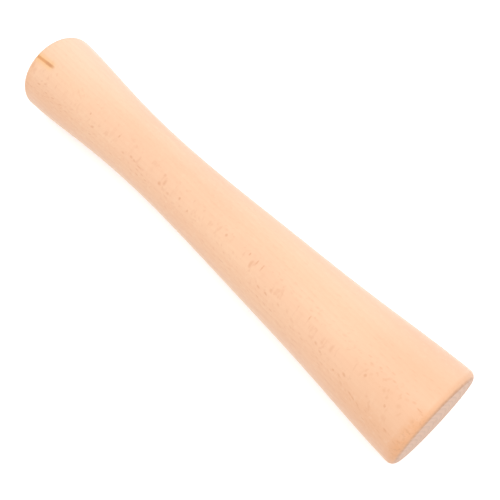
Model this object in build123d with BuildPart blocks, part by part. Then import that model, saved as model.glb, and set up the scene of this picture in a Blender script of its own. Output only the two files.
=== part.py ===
from build123d import *

import os
from math import atan, cos, degrees, sin

# One-piece wooden mallet, turned from a single beech billet.
#
# The mallet lies on its side. Its turning axis is parallel to X, with the butt of the handle
# towards -X and the striking face of the head towards +X. The origin is on the surface that the
# mallet lies on, below the middle of its length. All sizes are in millimetres.

# Driving dimensions
LENGTH = 300.0  # butt face to striking face
HEAD_DIAMETER = 60.0  # the widest part, just behind the edge of the striking face
WAIST_DIAMETER = 38.0  # the thinnest part of the grip
BUTT_DIAMETER = 49.0  # just before the edge of the butt face
BUTT_EDGE_RADIUS = 3.0  # rounding of the butt face's edge
HEAD_EDGE_RADIUS = 4.0  # rounding of the striking face's edge

# The turned profile between the two edges: distance from the butt face, and diameter there
GRIP_FLARE = (51.0, 41.6)
WAIST_FROM_BUTT = 102.0
THROAT = (174.0, 43.8)
HEAD_FLARE = (240.0, 51.6)

# Slopes of the profile at its two ends, as radius gained for each millimetre along the axis
BUTT_SLOPE = -0.025
HEAD_SLOPE = 0.042

AXIS_HEIGHT = HEAD_DIAMETER / 2  # the head is the widest part, so it carries the mallet
BUTT_X = -LENGTH / 2
HEAD_X = LENGTH / 2

# Centres of the two edge roundings, each touching its end face and the diameter beside it
BUTT_EDGE = (BUTT_X + BUTT_EDGE_RADIUS, AXIS_HEIGHT + BUTT_DIAMETER / 2 - BUTT_EDGE_RADIUS)
HEAD_EDGE = (HEAD_X - HEAD_EDGE_RADIUS, AXIS_HEIGHT + HEAD_DIAMETER / 2 - HEAD_EDGE_RADIUS)


def rim_point(from_butt, diameter):
    """A point on the upper side of the turned outline."""
    return (BUTT_X + from_butt, AXIS_HEIGHT + diameter / 2)


def leaving_point(edge, radius, slope):
    """The point of an edge rounding where the turned outline leaves it at this slope."""
    angle = atan(slope)
    return (edge[0] - radius * sin(angle), edge[1] + radius * cos(angle))


profile_points = [
    leaving_point(BUTT_EDGE, BUTT_EDGE_RADIUS, BUTT_SLOPE),
    rim_point(*GRIP_FLARE),
    rim_point(WAIST_FROM_BUTT, WAIST_DIAMETER),
    rim_point(*THROAT),
    rim_point(*HEAD_FLARE),
    leaving_point(HEAD_EDGE, HEAD_EDGE_RADIUS, HEAD_SLOPE),
]

butt_edge_start = 90 + degrees(atan(BUTT_SLOPE))
head_edge_turn = 90 + degrees(atan(HEAD_SLOPE))

# The upper half of the lengthwise section, turned about the axis
with BuildPart() as mallet_body:
    with BuildSketch(Plane.XZ):
        with BuildLine():
            Spline(profile_points, tangents=[(1, BUTT_SLOPE), (1, HEAD_SLOPE)])
            CenterArc(HEAD_EDGE, HEAD_EDGE_RADIUS, 0, head_edge_turn)
            striking_face = Line((HEAD_X, HEAD_EDGE[1]), (HEAD_X, AXIS_HEIGHT))
            turning_axis = Line(striking_face @ 1, (BUTT_X, AXIS_HEIGHT))
            Line(turning_axis @ 1, (BUTT_X, BUTT_EDGE[1]))
            CenterArc(BUTT_EDGE, BUTT_EDGE_RADIUS, butt_edge_start, 180 - butt_edge_start)
        make_face()
    revolve(axis=Axis((0, 0, AXIS_HEIGHT), (1, 0, 0)))

mallet_body.part.label = "mallet_body"

os.makedirs("parts", exist_ok=True)
export_step(mallet_body.part, "parts/mallet_body.step")

box = mallet_body.part.bounding_box()
print(f"mallet_body: {mallet_body.part.volume / 1000:.1f} cm3")
print(f"{box.size.X:.2f} x {box.size.Y:.2f} x {box.size.Z:.2f} mm, lowest point at {box.min.Z:.3f} mm")
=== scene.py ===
import math

import bpy
import numpy as np
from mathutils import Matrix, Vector


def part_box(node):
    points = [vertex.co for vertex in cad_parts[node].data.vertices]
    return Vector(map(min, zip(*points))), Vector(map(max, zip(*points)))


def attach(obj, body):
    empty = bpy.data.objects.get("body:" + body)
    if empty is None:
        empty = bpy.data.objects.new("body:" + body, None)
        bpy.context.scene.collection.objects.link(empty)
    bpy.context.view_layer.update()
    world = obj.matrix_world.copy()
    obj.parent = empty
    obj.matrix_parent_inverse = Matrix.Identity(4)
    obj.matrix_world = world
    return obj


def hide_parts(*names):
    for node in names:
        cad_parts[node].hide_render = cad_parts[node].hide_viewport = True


# A one-piece wooden mallet in metres, in the CAD model's own frame: it lies on its side, its
# turning axis along X, butt towards -X and striking face towards +X, +Z up.
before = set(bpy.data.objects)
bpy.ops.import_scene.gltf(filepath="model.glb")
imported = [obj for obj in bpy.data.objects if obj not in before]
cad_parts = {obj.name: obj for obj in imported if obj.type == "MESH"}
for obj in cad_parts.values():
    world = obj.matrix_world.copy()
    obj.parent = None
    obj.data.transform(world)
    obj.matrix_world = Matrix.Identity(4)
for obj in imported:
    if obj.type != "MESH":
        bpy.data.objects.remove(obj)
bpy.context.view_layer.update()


# ------------------------------------------------------------------------------------------------
# Mallet body: head, grip and butt are one beech billet, turned between centres, drawn in to a
# waist where the hand closes and sanded on the lathe. The wood is bare and satin. A short drying
# check has opened in the rim of the butt.

MM = 0.001

low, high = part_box("mallet_body")
BUTT_X, HEAD_X = low.x, high.x
HEAD_RADIUS = round((high.z - low.z) / 2, 4)  # rounded, because the CAD mesh's flat faces cut inside
AXIS_Z = HEAD_RADIUS
BUTT_RADIUS = 24.5 * MM
BUTT_EDGE_RADIUS, HEAD_EDGE_RADIUS = 3 * MM, 4 * MM

# The turned outline between the two edge roundings: distance from the butt face, and radius
OUTLINE = np.array([(51, 20.8), (102, 19.0), (174, 21.9), (240, 25.8)]) * MM
BUTT_SLOPE, HEAD_SLOPE = -0.025, 0.042  # radius gained for each metre along the axis

# Rows of the surface along each stretch of the outline, and columns round it
FACE_ROWS, EDGE_ROWS, NEAR_BUTT_ROWS, SIDE_ROWS = 26, 13, 44, 300
NEAR_BUTT = 22 * MM  # the rows are closer together up to here, for the drying check
COLUMNS = 236
CROWDING = 0.88  # how far the columns crowd towards the check, from 0 to 1

# The drying check: it runs into the side and into the butt face from the rim
CHECK_ANGLE = math.radians(22.2)  # from the top of the mallet towards -Y
CHECK_LENGTH, CHECK_INWARD = 17 * MM, 6 * MM
CHECK_HALF_WIDTH, CHECK_DEPTH = 0.22 * MM, 0.14 * MM
CHECK_TIP = 0.05 * MM  # its half width where it dies out
CHECK_SLANT = -0.08  # sideways drift for each metre along the side
CHECK_RIM = 0.5  # it opens widest where the rounded edge faces this far along the axis, from 0 to 1

# What the lathe leaves: shallow waves along the side, and a mark from each centre
WAVE_HEIGHT, WAVE_LENGTHS = 0.018 * MM, (6.1 * MM, 9.7 * MM, 23 * MM)
CENTRE_MARK_RADIUS, CENTRE_MARK_DEPTH = 1.6 * MM, 0.5 * MM


def smooth_outline(x, knots, first_slope, last_slope):
    """Radius at each x: cubics joined at the knots, where slope and curvature run on unbroken, and
    with the two given slopes at the ends. The knots' own slopes come from one set of equations."""
    at, radius = knots.T
    gap = np.diff(at)
    rise = np.diff(radius) / gap
    count = len(at)
    equations, right = np.eye(count), np.zeros(count)
    right[0], right[-1] = first_slope, last_slope
    for i in range(1, count - 1):
        equations[i, i - 1:i + 2] = gap[i], 2 * (gap[i - 1] + gap[i]), gap[i - 1]
        right[i] = 3 * (gap[i] * rise[i - 1] + gap[i - 1] * rise[i])
    slope = np.linalg.solve(equations, right)
    i = np.clip(np.searchsorted(at, x) - 1, 0, count - 2)
    t = (x - at[i]) / gap[i]
    start = radius[i] * (1 + 2 * t) * (1 - t) ** 2 + radius[i + 1] * t * t * (3 - 2 * t)
    return start + gap[i] * t * (1 - t) * (slope[i] * (1 - t) - slope[i + 1] * t)


def arc(centre, radius, start, end):
    """Points on an edge rounding, centre + radius * (cos, sin), from one angle to another."""
    turn = np.linspace(start, end, EDGE_ROWS)[:, None]
    return np.array(centre) + radius * np.hstack([np.cos(turn), np.sin(turn)])


def lathe_profile():
    """The outline as (distance from the butt face, radius), from the middle of the butt face, out
    over its rounded edge, along the side and over the head's edge to the middle of its face."""
    length = HEAD_X - BUTT_X
    butt_edge = (BUTT_EDGE_RADIUS, BUTT_RADIUS - BUTT_EDGE_RADIUS)
    head_edge = (length - HEAD_EDGE_RADIUS, HEAD_RADIUS - HEAD_EDGE_RADIUS)
    upright = math.pi / 2
    over_butt = arc(butt_edge, BUTT_EDGE_RADIUS, math.pi, upright + math.atan(BUTT_SLOPE))
    over_head = arc(head_edge, HEAD_EDGE_RADIUS, upright + math.atan(HEAD_SLOPE), 0)
    knots = np.vstack([over_butt[-1], OUTLINE, over_head[0]])
    near_butt = np.linspace(over_butt[-1, 0], NEAR_BUTT, NEAR_BUTT_ROWS)
    along = np.r_[near_butt, np.linspace(NEAR_BUTT, over_head[0, 0], SIDE_ROWS)[1:]]
    side = np.column_stack([along, smooth_outline(along, knots, BUTT_SLOPE, HEAD_SLOPE)])
    across_butt = np.linspace(0, butt_edge[1], FACE_ROWS)
    across_head = np.linspace(head_edge[1], 0, FACE_ROWS)
    butt_face = np.column_stack([np.zeros(FACE_ROWS), across_butt])
    head_face = np.column_stack([np.full(FACE_ROWS, length), across_head])
    return np.vstack([butt_face[:-1], over_butt, side[1:-1], over_head, head_face[1:]])


def closed_grid(name, points):
    """A closed surface from points[row, column, xyz]: the columns run round, the first and last
    rows shrink to a point each, and the faces look outwards."""
    rows, columns = points.shape[:2]
    ring = np.arange(1, rows - 1)[:, None] * columns + np.arange(columns) - columns + 1
    beside = np.roll(ring, -1, axis=1)
    quads = np.stack([ring[:-1], beside[:-1], beside[1:], ring[1:]], axis=-1).reshape(-1, 4)
    last = ring[-1, -1] + 1
    first_fan = np.column_stack([np.zeros(columns, int), beside[0], ring[0]])
    last_fan = np.column_stack([np.full(columns, last), ring[-1], beside[-1]])
    places = np.vstack([points[0, :1], points[1:-1].reshape(-1, 3), points[-1, :1]])
    mesh = bpy.data.meshes.new(name)
    mesh.from_pydata(places.tolist(), [], quads.tolist() + first_fan.tolist() + last_fan.tolist())
    mesh.polygons.foreach_set("use_smooth", np.ones(len(mesh.polygons), bool))
    piece = bpy.data.objects.new(name, mesh)
    bpy.context.scene.collection.objects.link(piece)
    return piece


def mallet_surface():
    """The mallet as points[row, column, xyz]. A row is a circle about the axis, a column a copy of
    the profile turned to an angle. Also returns how far each row faces along the axis, from 0 on
    the side to 1 on the faces."""
    profile = lathe_profile()
    tangent = np.gradient(profile, axis=0)
    tangent[0], tangent[-1] = (0, 1), (0, -1)
    tangent /= np.linalg.norm(tangent, axis=1)[:, None]
    outward = np.column_stack([-tangent[:, 1], tangent[:, 0]])
    end_grain = np.abs(outward[:, 0])
    distance = np.r_[0, np.cumsum(np.linalg.norm(np.diff(profile, axis=0), axis=1))]
    to_side = slice(0, FACE_ROWS + EDGE_ROWS)
    rim = np.interp(-CHECK_RIM, -end_grain[to_side], distance[to_side])
    beyond_rim = (distance - rim)[:, None]

    turn = np.linspace(0, 2 * math.pi, COLUMNS, endpoint=False)
    off_check = (turn - CROWDING * np.sin(turn) + math.pi) % (2 * math.pi) - math.pi
    radius = profile[:, 1:]
    waves = sum(np.sin(2 * math.pi * profile[:, :1] / length) for length in WAVE_LENGTHS)
    waves = waves * WAVE_HEIGHT / len(WAVE_LENGTHS) * (1 - end_grain[:, None])
    cone = CENTRE_MARK_DEPTH * np.clip(1 - radius / CENTRE_MARK_RADIUS, 0, 1)
    run = np.where(beyond_rim > 0, beyond_rim / CHECK_LENGTH, -beyond_rim / CHECK_INWARD)
    left = np.clip(1 - run, 0, 1)
    sideways = radius * off_check - CHECK_SLANT * (beyond_rim - CHECK_LENGTH / 2)
    groove = CHECK_DEPTH * np.sqrt(left) * np.exp(-(sideways / (CHECK_HALF_WIDTH * left + CHECK_TIP))**2)
    moved = waves - cone - groove

    x = BUTT_X + profile[:, :1] + outward[:, :1] * moved
    r = radius + outward[:, 1:] * moved
    angle = CHECK_ANGLE + off_check
    points = np.stack([x, -r * np.sin(angle), AXIS_Z + r * np.cos(angle)], axis=-1)
    return points, end_grain


points, end_grain = mallet_surface()
mallet = closed_grid("mallet", points)
facing_ends = np.r_[end_grain[0], np.repeat(end_grain[1:-1], COLUMNS), end_grain[-1]]
mallet.data.attributes.new("end_grain", "FLOAT", "POINT").data.foreach_set("value", facing_ends)


class Wire:
    """The value of one socket in a material. Arithmetic on it adds Math nodes beside it. A Wire
    without a socket only says which material its nodes go to."""

    def __init__(self, tree, socket=None):
        self.tree, self.socket = tree, socket

    def node(self, kind, settings=None, inputs=None, output=0):
        """Adds a node: first its settings, then a value or a Wire for each of its sockets."""
        made = self.tree.nodes.new("ShaderNode" + kind)
        for name, value in (settings or {}).items():
            setattr(made, name, value)
        for name, value in (inputs or {}).items():
            if isinstance(value, Wire):
                self.tree.links.new(value.socket, made.inputs[name])
            else:
                made.inputs[name].default_value = value
        return Wire(self.tree, made.outputs[output]) if made.outputs else None

    def math(self, operation, *others):
        """This value, and any others, through one Math node."""
        return self.node("Math", {"operation": operation}, dict(enumerate((self, *others))))

    def __add__(self, other):
        return self.math("ADD", other)

    def __sub__(self, other):
        return self.math("SUBTRACT", other)

    def __rsub__(self, other):
        return self.math("MULTIPLY_ADD", -1.0, other)

    def __mul__(self, other):
        return self.math("MULTIPLY", other)

    def __truediv__(self, other):
        return self.math("DIVIDE", other)

    def __neg__(self):
        return self * -1.0

    __radd__, __rmul__ = __add__, __mul__


def blank_nodes(owner):
    """Empties a material's or a world's node tree, and returns a Wire that adds nodes to it."""
    owner.use_nodes = True
    owner.node_tree.nodes.clear()
    return Wire(owner.node_tree)


def larger(a, b):
    """The larger of two values."""
    return a.math("MAXIMUM", b)


def hypotenuse(a, b):
    """The root of the sum of two squares."""
    return (a * a + b * b).math("SQRT")


def between(value, start, end):
    """0 where value is at start, 1 where it is at end, eased in between."""
    ends = {"Value": value, "From Min": start, "From Max": end}
    return value.node("MapRange", {"interpolation_type": "SMOOTHSTEP"}, ends)


def parts(place):
    """The three lengths of a place."""
    return [place.node("SeparateXYZ", {}, {0: place}, axis) for axis in "XYZ"]


def joined(x, y, z):
    """Three lengths as one place."""
    return x.node("CombineXYZ", {}, {"X": x, "Y": y, "Z": z})


def divided(place, sizes):
    """A place whose three lengths are each given in a size of their own."""
    return place.node("VectorMath", {"operation": "DIVIDE"}, {0: place, 1: sizes})


def noise(place, sizes, detail=2.0, rough=0.5):
    """Noise from 0 to 1, in clouds that have these sizes along the three lengths of a place."""
    clouds = {"Vector": divided(place, sizes), "Scale": 1.0, "Detail": detail, "Roughness": rough}
    return place.node("TexNoise", {}, clouds)


def tint(under, over, amount):
    """The colour under, turned by an amount from 0 to 1 into the colour over. Mix's sockets for
    colours are given by number, because those for numbers have the same names."""
    return amount.node("Mix", {"data_type": "RGBA"}, {"Factor": amount, 6: under, 7: over}, 2)


# Beech, in linear colour
ROSY = (0.91, 0.56, 0.3625, 1)
PALE = (0.92, 0.5875, 0.38, 1)
CREAM = (0.94, 0.65, 0.45, 1)
HEARTWOOD = (0.87, 0.49, 0.30, 1)
# Painted shade: warmer and darker, for the head and the near side where less light falls
SHADED_WARM = (0.88, 0.52, 0.32, 1)
LATEWOOD = (0.82, 0.45, 0.26, 1)
RAY = (0.66, 0.25, 0.10, 1)
PORE = (0.62, 0.32, 0.18, 1)
END_WOOD = (0.70, 0.415, 0.27, 1)
END_RING = (0.48, 0.25, 0.15, 1)
# The roundings' orange end grain, and also painted shade on the near side
ORANGE_TONE_AND_SHADE = (0.82, 0.41, 0.20, 1)
# A dark line at the arris, and painted shade in specks on the head's near rim
RIM_DIRT_AND_SHADE = (0.52, 0.25, 0.13, 1)
STREAK_HALO = (0.90, 0.50, 0.18, 1)
STREAK = (0.73, 0.32, 0.115, 1)
STREAK_DARK = (0.55, 0.24, 0.12, 1)

# How the billet lay in the log, in millimetres
LOG_TURN = math.radians(167.3)  # turns the pith, which lies below the near side, to +Y
PITH_AWAY = 58
PITH_TILT = 0.022  # the grain runs out of the billet by this much for each millimetre of length
RING_WIDTH = 2.7
RING_WANDER, PITH_WANDER = 7, 9  # how far the trunk's slow bends move the rings and the pith

# Sizes of the figure, in millimetres through the rings, round them and up the grain. A ray's are
# half sizes, and RAY_CELL is how far apart the rays are.
RAY_HALF_SIZES = (15, 0.25, 1.6)
RAY_CELL = (27.0, 1.2, 4.6)
FINE_RAYS = (8, 0.6, 2.4)
PALE_FLECKS = (5, 1.3, 2.2)
YEAR_WIDTHS = (14, 2000, 2000)

# Sizes of the figure, in millimetres up the grain and the two ways across it
WANDER = (90, 40, 40)
CLOUDS = (60, 16, 16)
FIBRES = (9, 0.385, 0.385)
PORES = (1.6, 0.18, 0.18)
RAGGED_EDGES = (0.77, 0.77, 0.77)
RIM_PATCHES = (6, 3, 3)
RIM_SPECKS = (1.25, 1.25, 1.25)
SANDING_LINES = (0.31, 9, 9)

# The largest rays that the turning laid open: distance from the butt face in millimetres, angle
# from the top towards -Y in degrees, and half sizes along and round the mallet in millimetres
OPEN_RAYS = (
    (52, 34, 0.7, 0.9),
    (75, 30, 0.6, 1.2),
    (96, 46, 2.4, 0.5),
    (128, 37, 0.8, 1.1),
    (136, 43, 0.7, 0.9),
    (163, 28, 0.9, 1.0),
    (180, 25, 0.5, 1.1),
    (186, 27, 0.5, 1.9),
    (190, 27, 0.5, 2.3),
    (226, 31, 0.5, 1.5),
    (251, 55, 0.9, 0.6),
    (265, 34, 0.9, 1.0),
    (281, 42, 0.8, 0.8),
    (294, 23, 1.6, 0.4),
)

# Where the colour changes along the mallet, painted shade and painted sheen among the changes, as
# distances from the butt face in millimetres between which the change begins and is complete
# Painted shade: the head warmer and darker, where less light falls
HEAD_SHADE_ZONE = (235.0, 285.0)
# Painted shade low on the near side, by the butt
BUTT_SHADE_ZONE = (60.0, 15.0)
# Painted sheen: the top of the butt paler, where the light falls
BUTT_SHEEN_ZONE = (85.0, 20.0)
HEAD_RIM = (291.0, 297.0)
BUTT_RIM = (8.0, 3.0)
STREAK_END = (16.5, 12.5)
STREAK_DARKENS = (7.0, 11.0)

# The same as distances from the axis, for the streak's end on the butt face
STREAK_INWARD_END = (16.0, 20.0)

# Directions from the axis, in degrees from the top towards -Y. The second is the middle of a band of
# painted shade on the near side
NEAR_SIDE, SHADE_DIRECTION, FAR_UP = 80, 70, -30

# How strongly each mark shows, from 0 to 1
HEART_SHADE, HEAD_SHADE_STRENGTH, LOW_SHADE, SIDE_SHADE, BUTT_SHEEN_STRENGTH = 0.35, 0.80, 0.35, 0.42, 0.75
RING_SHADE, NEAR_PITH_RING_SHADE, HEART_RING_SHADE = 0.10, 0.16, 0.30
FIBRE_SHADE, PORE_SHADE, PALE_FLECK_SHADE, RAY_SHADE = 0.12, 0.12, 0.40, 0.40
END_WOOD_SHADE, END_RING_SHADE, END_RAY_SHADE = 0.86, 0.34, 0.22
HALO_SHADE, STREAK_SHADE, STREAK_DARK_SHADE = 0.55, 0.90, 0.45


class Spot:
    """Where a point of the mallet is, in millimetres and radians, by the lathe's measures."""

    def __init__(self, place):
        x, y, z = parts(divided(place, (MM, MM, MM)))
        self.from_butt = x - BUTT_X / MM
        self.sideways, self.up = -y, z - AXIS_Z / MM
        self.off_axis = hypotenuse(self.sideways, self.up)
        self.angle = self.sideways.math("ARCTAN2", self.up)

    def facing(self, degrees):
        """How squarely the surface faces away from the axis in a direction, which is given in
        degrees from the top towards -Y: 1 straight on, 0 side on, below 0 behind."""
        turn = math.radians(degrees)
        return (self.sideways * math.sin(turn) + self.up * math.cos(turn)) / (self.off_axis + 0.01)


def in_the_log(place):
    """A point of the mallet as two places in the log, in millimetres. The first is its distance
    along the log and its two distances across it. The second is its distance from the pith, round
    the pith and along the log. Also returns how far it is to one side of the pith."""
    turned = place.node("VectorRotate", {"rotation_type": "X_AXIS"},
                        {"Vector": place, "Center": (0, 0, AXIS_Z), "Angle": LOG_TURN})
    log_place = divided(turned, (MM, MM, MM))
    x, y, z = parts(log_place)
    wander = noise(log_place, WANDER, detail=1.0)
    towards_pith = PITH_AWAY - y + x * PITH_TILT
    beside_pith = z - AXIS_Z / MM + (wander - 0.5) * PITH_WANDER
    from_pith = hypotenuse(towards_pith, beside_pith) + wander * RING_WANDER
    round_pith = beside_pith.math("ARCTAN2", towards_pith) * PITH_AWAY
    return log_place, joined(from_pith, round_pith, x), beside_pith


def growth_rings(ring_place):
    """Latewood from 0 to 1. Each year the wood darkens slowly and stops at a sharp line, and the
    years differ in width."""
    widths = noise(ring_place, YEAR_WIDTHS, detail=1.0)
    year = (parts(ring_place)[0] / RING_WIDTH + widths * 2.2).math("FRACT")
    return between(year, 0.35, 0.97) * between(year, 1.0, 0.975)


def scattered_rays(ring_place):
    """Rays from 0 to 1: thin sheets that stand on the grain and point at the pith, one about the
    centre of each cell of a random grid, some strong and some faint. Finer ones lie between."""
    in_cells = divided(ring_place, RAY_CELL)
    cells = {"Vector": in_cells, "Scale": 1.0, "Randomness": 0.9}
    centre = in_cells.node("TexVoronoi", {}, cells, "Position")
    lot = in_cells.node("TexVoronoi", {}, cells, "Color")
    off_centre = in_cells.node("VectorMath", {"operation": "SUBTRACT"}, {0: in_cells, 1: centre})
    half_sizes = tuple(half / cell for half, cell in zip(RAY_HALF_SIZES, RAY_CELL))
    off_centre = divided(off_centre, half_sizes)
    span = off_centre.node("VectorMath", {"operation": "LENGTH"}, {0: off_centre}, "Value")
    strength = between(lot.node("SeparateColor", {}, {0: lot}, "Red"), 0.35, 1.0)
    strong = between(span, 1.15, 0.3) * (strength * 0.85 + 0.15)
    fine = between(noise(ring_place, FINE_RAYS, detail=1.0), 0.58, 0.74) * 0.42
    return larger(strong, fine)


def open_rays(spot, ragged):
    """The largest rays from 0 to 1, each an oval with a ragged edge."""
    rays = None
    for from_butt, degrees, half_along, half_round in OPEN_RAYS:
        along = (spot.from_butt - from_butt) / half_along
        across = (spot.angle - math.radians(degrees)) * spot.off_axis / half_round
        oval = between(along * along + across * across + ragged * 1.6, 1.3, 0.0) * 0.95
        rays = larger(rays, oval) if rays else oval
    return rays


def streaked(colour, spot, ragged):
    """The colour with the brown streak that the check runs along, darkest at its inner end."""
    drift = (spot.from_butt - CHECK_LENGTH / MM / 2) * CHECK_SLANT
    off_streak = ((spot.angle - CHECK_ANGLE) * spot.off_axis - drift).math("ABSOLUTE") + ragged * 0.5
    near_rim = between(spot.from_butt, *STREAK_END) * between(spot.off_axis, *STREAK_INWARD_END)
    core = between(off_streak, 1.25, 0.4) * near_rim
    colour = tint(colour, STREAK_HALO, between(off_streak, 4.2, 0.6) * near_rim * HALO_SHADE)
    colour = tint(colour, STREAK, core * STREAK_SHADE)
    return tint(colour, STREAK_DARK, core * between(spot.from_butt, *STREAK_DARKENS) * STREAK_DARK_SHADE)


def beech():
    """Solid beech: every pattern is worked out in the log, by distance from the pith, distance
    round it and distance along it, so it runs through the surface as in real wood."""
    material = bpy.data.materials.new("beech")
    blank = blank_nodes(material)
    place = blank.node("TexCoord", output="Object")
    end = blank.node("Attribute", {"attribute_name": "end_grain"}, {}, "Fac")
    spot = Spot(place)
    log_place, ring_place, beside_pith = in_the_log(place)
    from_butt = spot.from_butt
    near_side = between(spot.facing(NEAR_SIDE), 0.17, 0.90)
    # Painted shade: a band low on the near side
    shaded_low_side = between(spot.facing(NEAR_SIDE), 0.84, 0.99)
    # Painted shade: a band down the near side
    shaded_side = between(spot.facing(SHADE_DIRECTION), 0.90, 0.995)
    far_up = spot.facing(FAR_UP)

    latewood = growth_rings(ring_place)
    ragged = noise(log_place, RAGGED_EDGES, detail=1.0) - 0.5
    ray = larger(scattered_rays(ring_place), open_rays(spot, ragged))
    # Painted light: the rays fade on the upper far side, where the brightest light washes the figure out
    ray = ray * (1 - between(far_up, 0.58, 0.82) * 0.7)  # the upper far side shows few
    pale_fleck = between(noise(ring_place, PALE_FLECKS), 0.52, 0.72)
    pale_fleck = pale_fleck * between(beside_pith, -34.0, -4.0)  # few on the upper far side
    fibre = noise(log_place, FIBRES, detail=3.0, rough=0.65)
    pore = between(noise(log_place, PORES, rough=0.6), 0.60, 0.74)

    # The wood itself: rosy and pale clouds, darker towards the heart of the log. Painted shade makes it
    # warmer and darker towards the head and down the near side, and a painted sheen makes the top of the
    # butt creamy
    cloud = noise(log_place, CLOUDS)
    heart = between(beside_pith, 2.0, 24.0)
    shaded_head = between(from_butt, *HEAD_SHADE_ZONE)
    shaded_ends = larger(shaded_head, between(from_butt, *BUTT_SHADE_ZONE) * 0.5)
    colour = tint(ROSY, PALE, between(cloud, 0.35, 0.65))
    colour = tint(colour, HEARTWOOD, heart * HEART_SHADE)
    # Painted shade: warmer and darker towards the head
    colour = tint(colour, SHADED_WARM, shaded_head * HEAD_SHADE_STRENGTH)
    # Painted shade: warmer and darker in a band down the near side
    colour = tint(colour, SHADED_WARM, shaded_side * SIDE_SHADE)
    # Painted shade, orange-brown, low on the near side by the head and the butt
    colour = tint(colour, ORANGE_TONE_AND_SHADE, shaded_ends * shaded_low_side * LOW_SHADE)
    # Painted sheen: creamy on the upper far side of the butt, where the light falls
    butt_sheen = between(from_butt, *BUTT_SHEEN_ZONE) * between(far_up, 0.62, 0.90)
    colour = tint(colour, CREAM, butt_sheen * BUTT_SHEEN_STRENGTH)

    # The marks in it
    near_pith = between(parts(ring_place)[0], 56.0, 42.0)
    ring_shade = heart * HEART_RING_SHADE + near_pith * NEAR_PITH_RING_SHADE + RING_SHADE
    colour = tint(colour, LATEWOOD, latewood * ring_shade)
    colour = tint(colour, LATEWOOD, between(fibre, 0.40, 0.75) * FIBRE_SHADE)
    colour = tint(colour, PORE, pore * PORE_SHADE)
    colour = tint(colour, CREAM, pale_fleck * PALE_FLECK_SHADE)
    colour = tint(colour, RAY, ray * RAY_SHADE)

    # The rims: the roundings' end grain a little orange all round, and painted shade on their near side,
    # in patches and specks
    patchy = between(noise(log_place, RIM_PATCHES, detail=3.0, rough=0.6), 0.35, 0.65)
    specks = between(noise(log_place, RIM_SPECKS, rough=0.6), 0.56, 0.66)
    head_rim = between(from_butt, *HEAD_RIM)
    butt_rim = between(from_butt, *BUTT_RIM) * between(end, 0.5, 0.1)
    # Painted shade in patches on the near side of the head's rim and rounding
    colour = tint(colour, ORANGE_TONE_AND_SHADE, head_rim * near_side * (patchy * 0.5 + 0.4))
    # Painted shade on the near side of the butt's rounding
    colour = tint(colour, ORANGE_TONE_AND_SHADE, butt_rim * near_side * 0.25)
    # The roundings' own orange end grain all round, and painted shade on their near side
    colour = tint(colour, ORANGE_TONE_AND_SHADE, between(end, 0.05, 0.6) * (near_side * 0.2 + 0.2))
    # Painted shade in specks, low on the near side of the head's rim
    colour = tint(colour, RIM_DIRT_AND_SHADE, head_rim * head_rim * near_side * specks * 0.25)

    # End grain on the two faces, with a line of dirt where each begins
    on_face = between(end, 0.72, 1.0)
    arris = between(end, 0.62, 0.92) * between(end, 1.0, 0.97)
    colour = tint(colour, END_WOOD, on_face * END_WOOD_SHADE)
    colour = tint(colour, END_RING, on_face * (latewood * END_RING_SHADE + ray * END_RAY_SHADE))
    colour = tint(colour, RIM_DIRT_AND_SHADE, arris * (0.5 - near_side * 0.35) * (patchy * 0.6 + 0.4))
    colour = streaked(colour, spot, ragged)

    # Fine sanding lines run round the work, because it was sanded while it turned
    sanding = noise(log_place, SANDING_LINES, detail=3.0, rough=0.7)
    relief = fibre * 0.35 + sanding * 0.30 - pore * 0.5 - ray * 0.35
    bump = blank.node("Bump", {}, {"Strength": 0.35, "Distance": 0.06 * MM, "Height": relief}, "Normal")
    rough = 0.34 + fibre * 0.10 + sanding * 0.06 - ray * 0.08 + end * 0.30
    shader = blank.node("BsdfPrincipled", {}, {
        "Base Color": colour, "Roughness": rough, "Normal": bump, "IOR": 1.5,
        "Specular IOR Level": 0.6, "Sheen Weight": 0.28, "Sheen Roughness": 0.3}, "BSDF")
    blank.node("OutputMaterial", {}, {"Surface": shader})
    return material


mallet.data.materials.append(beech())
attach(mallet, "root")
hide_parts("mallet_body")


# ------------------------------------------------------------------------------------------------
# Studio: a white table top that the mallet rests on at the head's rim and the butt's rim, even
# light from all round, one soft lamp overhead, and two panels that give only gloss, one beyond
# the far side and one flat on the table there.

TABLE_WIDTH = 6.0
REST_DROP = HEAD_RADIUS - BUTT_RADIUS  # the butt is slimmer, so the table top is tilted to meet it
BUTT_REST_X, HEAD_REST_X = BUTT_X + BUTT_EDGE_RADIUS, HEAD_X - HEAD_EDGE_RADIUS
TABLE_SLOPE = math.tan(math.asin(REST_DROP / (HEAD_REST_X - BUTT_REST_X)))

half_table = TABLE_WIDTH / 2
corners = []
for corner_x, corner_y in ((-1, -1), (1, -1), (1, 1), (-1, 1)):
    height = (HEAD_REST_X - corner_x * half_table) * TABLE_SLOPE
    corners.append((corner_x * half_table, corner_y * half_table, height))
table_mesh = bpy.data.meshes.new("table_top")
table_mesh.from_pydata(corners, [], [(0, 1, 2, 3)])
table = bpy.data.objects.new("table_top", table_mesh)
bpy.context.scene.collection.objects.link(table)

WHITE = (1, 1, 1, 1)
TABLE_WHITE = (0.80, 0.80, 0.80, 1)
TABLE_GLOW = 0.50  # what the table top adds to the light on it, so that it is seen white
AMBIENT = 0.775  # light from all round, where 1 is white


def seen_white(blank):
    """1 where a surface is seen directly, in gloss or through glass, and 0 where it gives light."""
    camera_ray = blank.node("LightPath", output="Is Camera Ray")
    glossy_ray = blank.node("LightPath", output="Is Glossy Ray")
    transmission_ray = blank.node("LightPath", output="Is Transmission Ray")
    return (camera_ray + glossy_ray + transmission_ray).math("MINIMUM", 1.0)


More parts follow.
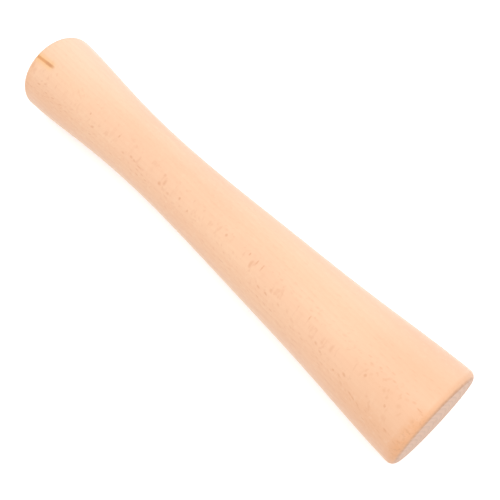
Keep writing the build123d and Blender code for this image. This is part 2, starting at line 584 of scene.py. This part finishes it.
paint = bpy.data.materials.new("table_paint")
blank = blank_nodes(paint)
matt = blank.node("BsdfPrincipled", {}, {
    "Base Color": TABLE_WHITE, "Roughness": 0.9, "Specular IOR Level": 0.0,
    "Emission Color": seen_white(blank), "Emission Strength": TABLE_GLOW}, "BSDF")
blank.node("OutputMaterial", {}, {"Surface": matt})
table_mesh.materials.append(paint)

world = bpy.data.worlds.new("studio")
blank = blank_nodes(world)
glow = seen_white(blank) * (1 - AMBIENT) + AMBIENT
sky = blank.node("Background", {}, {"Color": WHITE, "Strength": glow}, "Background")
blank.node("OutputWorld", {}, {"Surface": sky})
bpy.context.scene.world = world

MIDDLE = Vector((0, 0, AXIS_Z))
UP = Vector((0, 0, 1))


def soft_lamp(name, place, faces, size, watts, gloss_only=False):
    """An even rectangular lamp at a place, facing in a direction."""
    light = bpy.data.lights.new(name, "AREA")
    light.shape = "RECTANGLE"
    light.size, light.size_y = size
    light.energy = watts
    lamp = bpy.data.objects.new(name, light)
    lamp.location = place
    lamp.rotation_euler = faces.to_track_quat("-Z", "Y").to_euler()
    if gloss_only:
        lamp.visible_diffuse = False
        lamp.visible_camera = False
    bpy.context.scene.collection.objects.link(lamp)


from_above = Vector((0.20, -0.12, 0.97)).normalized() * 1.3
from_far_side = Vector((-0.30, 1.0, 0.36)).normalized() * 1.5
on_table = Vector((0, 0.30, 8 * MM))
soft_lamp("overhead", MIDDLE + from_above, -from_above, size=(1.0, 1.0), watts=7.0)
soft_lamp("far_side_gloss", MIDDLE + from_far_side, -from_far_side, (2.2, 1.5), 12, gloss_only=True)
soft_lamp("low_gloss", on_table, UP, size=(0.9, 0.5), watts=0.55, gloss_only=True)

# The camera looks down at the mallet from above the near side of its head
CAMERA_AZIMUTH, CAMERA_ELEVATION = math.radians(46.70), math.radians(60.94)
CAMERA_DISTANCE, CAMERA_LENS = 0.4609, 62.06
AIM_FROM_BUTT = 170.1 * MM
CAMERA_CLIP = (0.01, 50)

aim = Vector((BUTT_X + AIM_FROM_BUTT, 0, AXIS_Z))
level = math.cos(CAMERA_ELEVATION)
towards_camera = Vector((math.sin(CAMERA_AZIMUTH) * level, -math.cos(CAMERA_AZIMUTH) * level,
                         math.sin(CAMERA_ELEVATION)))
camera_data = bpy.data.cameras.new("camera")
camera_data.lens = CAMERA_LENS
camera_data.clip_start, camera_data.clip_end = CAMERA_CLIP
camera = bpy.data.objects.new("camera", camera_data)
camera.location = aim + towards_camera * CAMERA_DISTANCE
camera.rotation_euler = (-towards_camera).to_track_quat("-Z", "Y").to_euler()
bpy.context.scene.collection.objects.link(camera)
bpy.context.scene.camera = camera
bpy.context.scene.view_settings.view_transform = "Standard"
